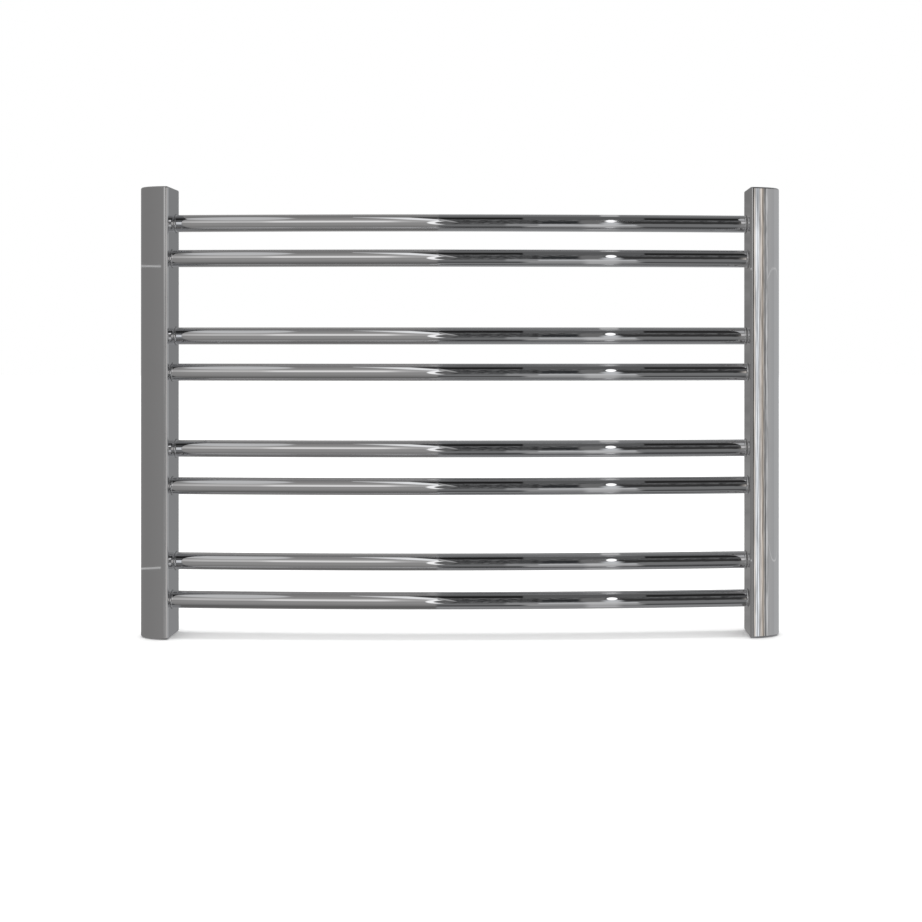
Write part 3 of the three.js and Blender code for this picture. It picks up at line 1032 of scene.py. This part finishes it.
overhead = bpy.data.lights.new("overhead_lamp", "SUN")
overhead.energy = 1.2
overhead.angle = math.radians(4)
lamp = bpy.data.objects.new("overhead_lamp", overhead)
lamp.location = (0, 0, 2)
lamp.visible_glossy = False
scene.collection.objects.link(lamp)

world = bpy.data.worlds.new("studio")
scene.world = world
world.use_nodes = True
world.cycles.sampling_method = "NONE"
sky = world.node_tree
sky.nodes.clear()
room = Signal(sky)


def grey(shown, warm=0.0):
    """The light of a panel that chrome shows as that grey, from 0 to 255; warm is above 0, cool below."""
    level = ((shown / 255 + 0.055) / 1.055) ** 2.4 / 0.79
    return (level * (1 + warm), level, level * (1 - warm), 1)


# across is -1 at the left of the rack and 1 at its right. tilt is 0 straight out of the front of it,
# 90 overhead, -90 underfoot and 180 at the wall. place is where the bowed tubes show a direction, in
# millimetres to the right of their middle: the bow squeezes the view most at tilt 0.
direction = room.node("TexCoord")
across, back, up = (room.node("SeparateXYZ", None, {0: direction}, output=index) for index in range(3))
tilt_angle = room.math("ARCTAN2", up, back * -1.0)
tilt = tilt_angle * (180 / math.pi)
MIDDLE_ACROSS, BOW_PULL, LEVEL_PULL = -0.062, 0.302, 1.099
squeeze = room.math("COSINE", tilt_angle) * BOW_PULL + LEVEL_PULL
place = (across - MIDDLE_ACROSS) / squeeze * 1000
chart = room.node("CombineXYZ", None, {0: place / 1000, 1: tilt / 180})


def band(signal, start, end, edge):
    """1 between start and end, and 0 outside; edge is half the width of the blur at both."""
    return signal.rise(start - edge, start + edge) * (1 - signal.rise(end - edge, end + edge))


def oval(middle, half_width, middle_tilt, half_tilt, inner=0.8):
    """1 inside an oval, and 0 outside it; the blur starts at that share of its radius."""
    x = (place - middle) / half_width
    y = (tilt - middle_tilt) / half_tilt
    distance = room.math("SQRT", x * x + y * y)
    return 1 - distance.rise(inner, 1.0)


def stripe(middle, half_width, inner):
    """1 along a slanting line in the tilt, and 0 outside it."""
    return 1 - (room.math("ABSOLUTE", tilt - middle) / half_width).rise(inner, 1.0)


def by_tilt(greys, warm):
    """A wall whose grey changes with the tilt, from (tilt, grey) pairs."""
    stops = [((angle + 180) / 360, grey(shown, warm)) for angle, shown in greys]
    return ((tilt + 180) / 360).ramp(stops)


def scaled(colour, amount):
    """A colour made brighter or darker."""
    return room.node("VectorMath", {"operation": "SCALE"}, {0: colour, 3: amount})


# The bright left half of the room, with the long grain of its paper, and the dark right half, with
# the clutter that stands in it.
left_room = by_tilt(
    [(-180, 112), (-165, 128), (-141, 146), (-122, 108), (-106, 92), (-88, 90), (-72, 94), (-56, 114),
     (-41, 129), (-20, 137), (-4, 132), (4, 158), (24, 158), (38, 142), (50, 132), (81, 116),
     (102, 110), (131, 146), (160, 128), (180, 112)], 0.012)
left_room = scaled(left_room, chart.noise(12, 4, 0.65, (0.6, 8, 1)).rise(0.36, 0.64, 0.86, 1.12))
right_room = by_tilt(
    [(-180, 120), (-141, 144), (-114, 118), (-101, 126), (-90, 132), (-72, 112), (-69, 68), (-54, 68),
     (-50, 108), (-30, 106), (-22, 88), (-6, 72), (14, 64), (34, 80), (40, 86), (80, 84), (90, 98),
     (102, 104), (131, 130), (155, 122), (180, 120)], -0.012)
clutter = chart.noise(110, 3, 0.75, (1, 0.22, 1)).rise(0.42, 0.58, 0.45, 1.60)
cluttered = band(tilt, -24, 42, 8)
right_room = scaled(right_room, cluttered * (clutter - 1) + 1)
studio = place.rise(-22, -19).mix(left_room, right_room)

# Flat panels. Each is: place from, to and blur; tilt from, to and blur; grey; warmth.
PANELS = [
    (-400, -50, 14, 3, 27, 3.5, 180, 0.01),  # long strip light
    (-172, -62, 10, 4, 24, 3.0, 214, 0.01),  # its bare middle
    (-20, 58, 1.0, 43, 73, 3.0, 30, 0.0),  # black cloths over the dark half
    (170, 400, 1.0, 43, 73, 3.0, 34, 0.0),
    (75, 110, 2.0, -9, 15, 2.5, 46, -0.06),  # doorway
    (110, 133, 3.0, -14, 36, 4.0, 102, 0.0),
    (146, 400, 3.0, -7, 19, 3.0, 50, 0.0),
    (42, 72, 3.0, -46, -18, 3.0, 134, -0.01),
    (163, 400, 2.0, -40, -12, 3.0, 112, -0.01),
    (60, 166, 6.0, -68, -38, 3.0, 140, 0.0),  # front of the bench
    (72, 163, 2.0, -41, -21, 2.5, 172, -0.015),  # bench top
    (130, 147, 2.0, 98, 150, 6.0, 168, 0.0),  # light on the ceiling
]
for start, end, edge, low, high, tilt_edge, shown, warm in PANELS:
    panel = band(place, start, end, edge) * band(tilt, low, high, tilt_edge)
    studio = panel.mix(studio, grey(shown, warm))
studio = (oval(-198, 52, 62, 27, 0.8) * 0.85).mix(studio, grey(188, -0.01))

shade = (tilt + place * 1.2 - 19).rise(0, 4) * (1 - tilt.rise(74, 84)) * band(place, -46, -20, 2)
studio = shade.mix(studio, grey(50, 0.0))

# A bright sheet hangs at the edge of the dark half: it widens to the right, curls round under itself
# at its corner, and trails a faint hem.
bend = room.math("MAXIMUM", place + 46, 0.0)
sheet_middle = place * -0.46 - bend * 0.41 + 32.8
sheet_half = 16 - room.math("ABSOLUTE", place + 46) * 0.22
sheet = stripe(sheet_middle, sheet_half, 0.84) * band(place, -98, -19.5, 1.0)
studio = (sheet * place.rise(-96, -44, 0.40, 1.0)).mix(studio, grey(224, -0.01))
hem = stripe(place * -2.45 - 5.0, 12.0, 0.4) * band(place, -20, -4, 4)
studio = (hem * 0.8).mix(studio, grey(168, 0.0))
inside_curl = oval(-13.5, 10.5, -3, 19)
curl = oval(-17, 14.5, -2, 27, 0.85) * (1 - inside_curl) * (1 - place.rise(-20, -12))
studio = curl.mix(studio, grey(240, 0.0))
studio = (inside_curl * 0.8).mix(studio, grey(96, 0.0))

# A small bare lamp in the dark half, its glow, and the light it drops down the bench.
dropped = band(place, 116, 146, 5) * band(tilt, -112, -14, 8)
studio = (dropped * 0.4).mix(studio, grey(196, 0.0))
studio = (oval(139.5, 13, -6, 24, 0.3) * 0.75).mix(studio, grey(205, -0.02))
studio = oval(139.0, 5.3, 23.5, 20, 0.85).mix(studio, grey(268, 0.0))

# The two sides of the room, which only the curves of the uprights look at.
at_eye_level = band(up, -0.27, 0.27, 0.02)
left_side = (across + 1.0).ramp([(0.0, grey(116, 0.014)), (0.47, grey(120, 0.014))])
studio = (1 - across.rise(-0.46, -0.37)).mix(studio, left_side)
# Hangings on the right. Each is: where it starts across the room; grey; warmth.
HANGINGS = [
    (0.250, 70, 0.0), (0.278, 172, 0.03), (0.300, 190, 0.10), (0.340, 172, 0.04), (0.385, 228, -0.02),
    (0.425, 176, -0.05), (0.465, 220, -0.05), (0.500, 180, 0.0), (0.545, 172, 0.06), (0.585, 192, 0.08),
    (0.620, 160, 0.14), (0.660, 124, 0.14), (0.695, 176, 0.04), (0.722, 98, 0.0), (0.745, 100, -0.01),
    (0.770, 168, 0.0), (0.805, 178, 0.0), (0.840, 152, 0.0), (0.880, 157, 0.0), (1.000, 152, -0.01),
]
stripes = (across - 0.012).ramp([(start, grey(shown, warm)) for start, shown, warm in HANGINGS])
streaked = chart.noise(60, 3, 0.7, (0.5, 1.1, 1)).rise(0.38, 0.62, 0.62, 1.36)
busy = 1 - across.rise(0.80, 0.90)
stripes = scaled(stripes, busy * (streaked - 1.0) + 1.0)
behind_right = across.ramp([(0.44, grey(146, -0.035)), (0.62, grey(160, -0.01))])
right_side = back.rise(-0.03, 0.03).mix(stripes, behind_right)
studio = (across.rise(0.292, 0.306) * at_eye_level).mix(studio, right_side)

# Two taut seams run round the room, and dip a little on the right.
dip = (1 - across.rise(0.80, 1.00)) * across.rise(0.6, 0.7)
for seam, drop in [(0.0525, -0.008), (-0.1610, 0.016)]:
    offset = room.math("ABSOLUTE", up - seam - dip * drop)
    sides = across.rise(0.82, 0.86) + (1 - across.rise(-0.56, -0.50))
    line = (1 - offset.rise(0.0003, 0.0009)) * sides
    studio = (line * 0.7).mix(studio, grey(190, 0.0))

# The lens sees plain white beyond the rack, and the sweep is filled with even light.
seen = room.node("LightPath", output=0)
filling = room.node("LightPath", output=2)
backdrop = seen.mix(filling.mix(studio, (1.22, 1.22, 1.22, 1)), (1.0, 1.0, 1.0, 1))
glowing = room.node("Background", None, {0: backdrop, 1: 1.0})
room.node("OutputWorld", None, {0: glowing})
scene.view_settings.view_transform = "Standard"

camera = bpy.data.objects.new("camera", bpy.data.cameras.new("camera"))
camera.location = (0.078, -1.3234, 0.0676)
camera.rotation_euler = (math.pi / 2, 0, -0.0119)
camera.data.sensor_width = 36
camera.data.lens = 52.29
camera.data.shift_x = -0.1071
camera.data.shift_y = -0.1315
scene.collection.objects.link(camera)
scene.camera = camera

boxes = {"cad": cad_bounds, "visual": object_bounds()}
{name: [list(corner) for corner in box] for name, box in boxes.items()}
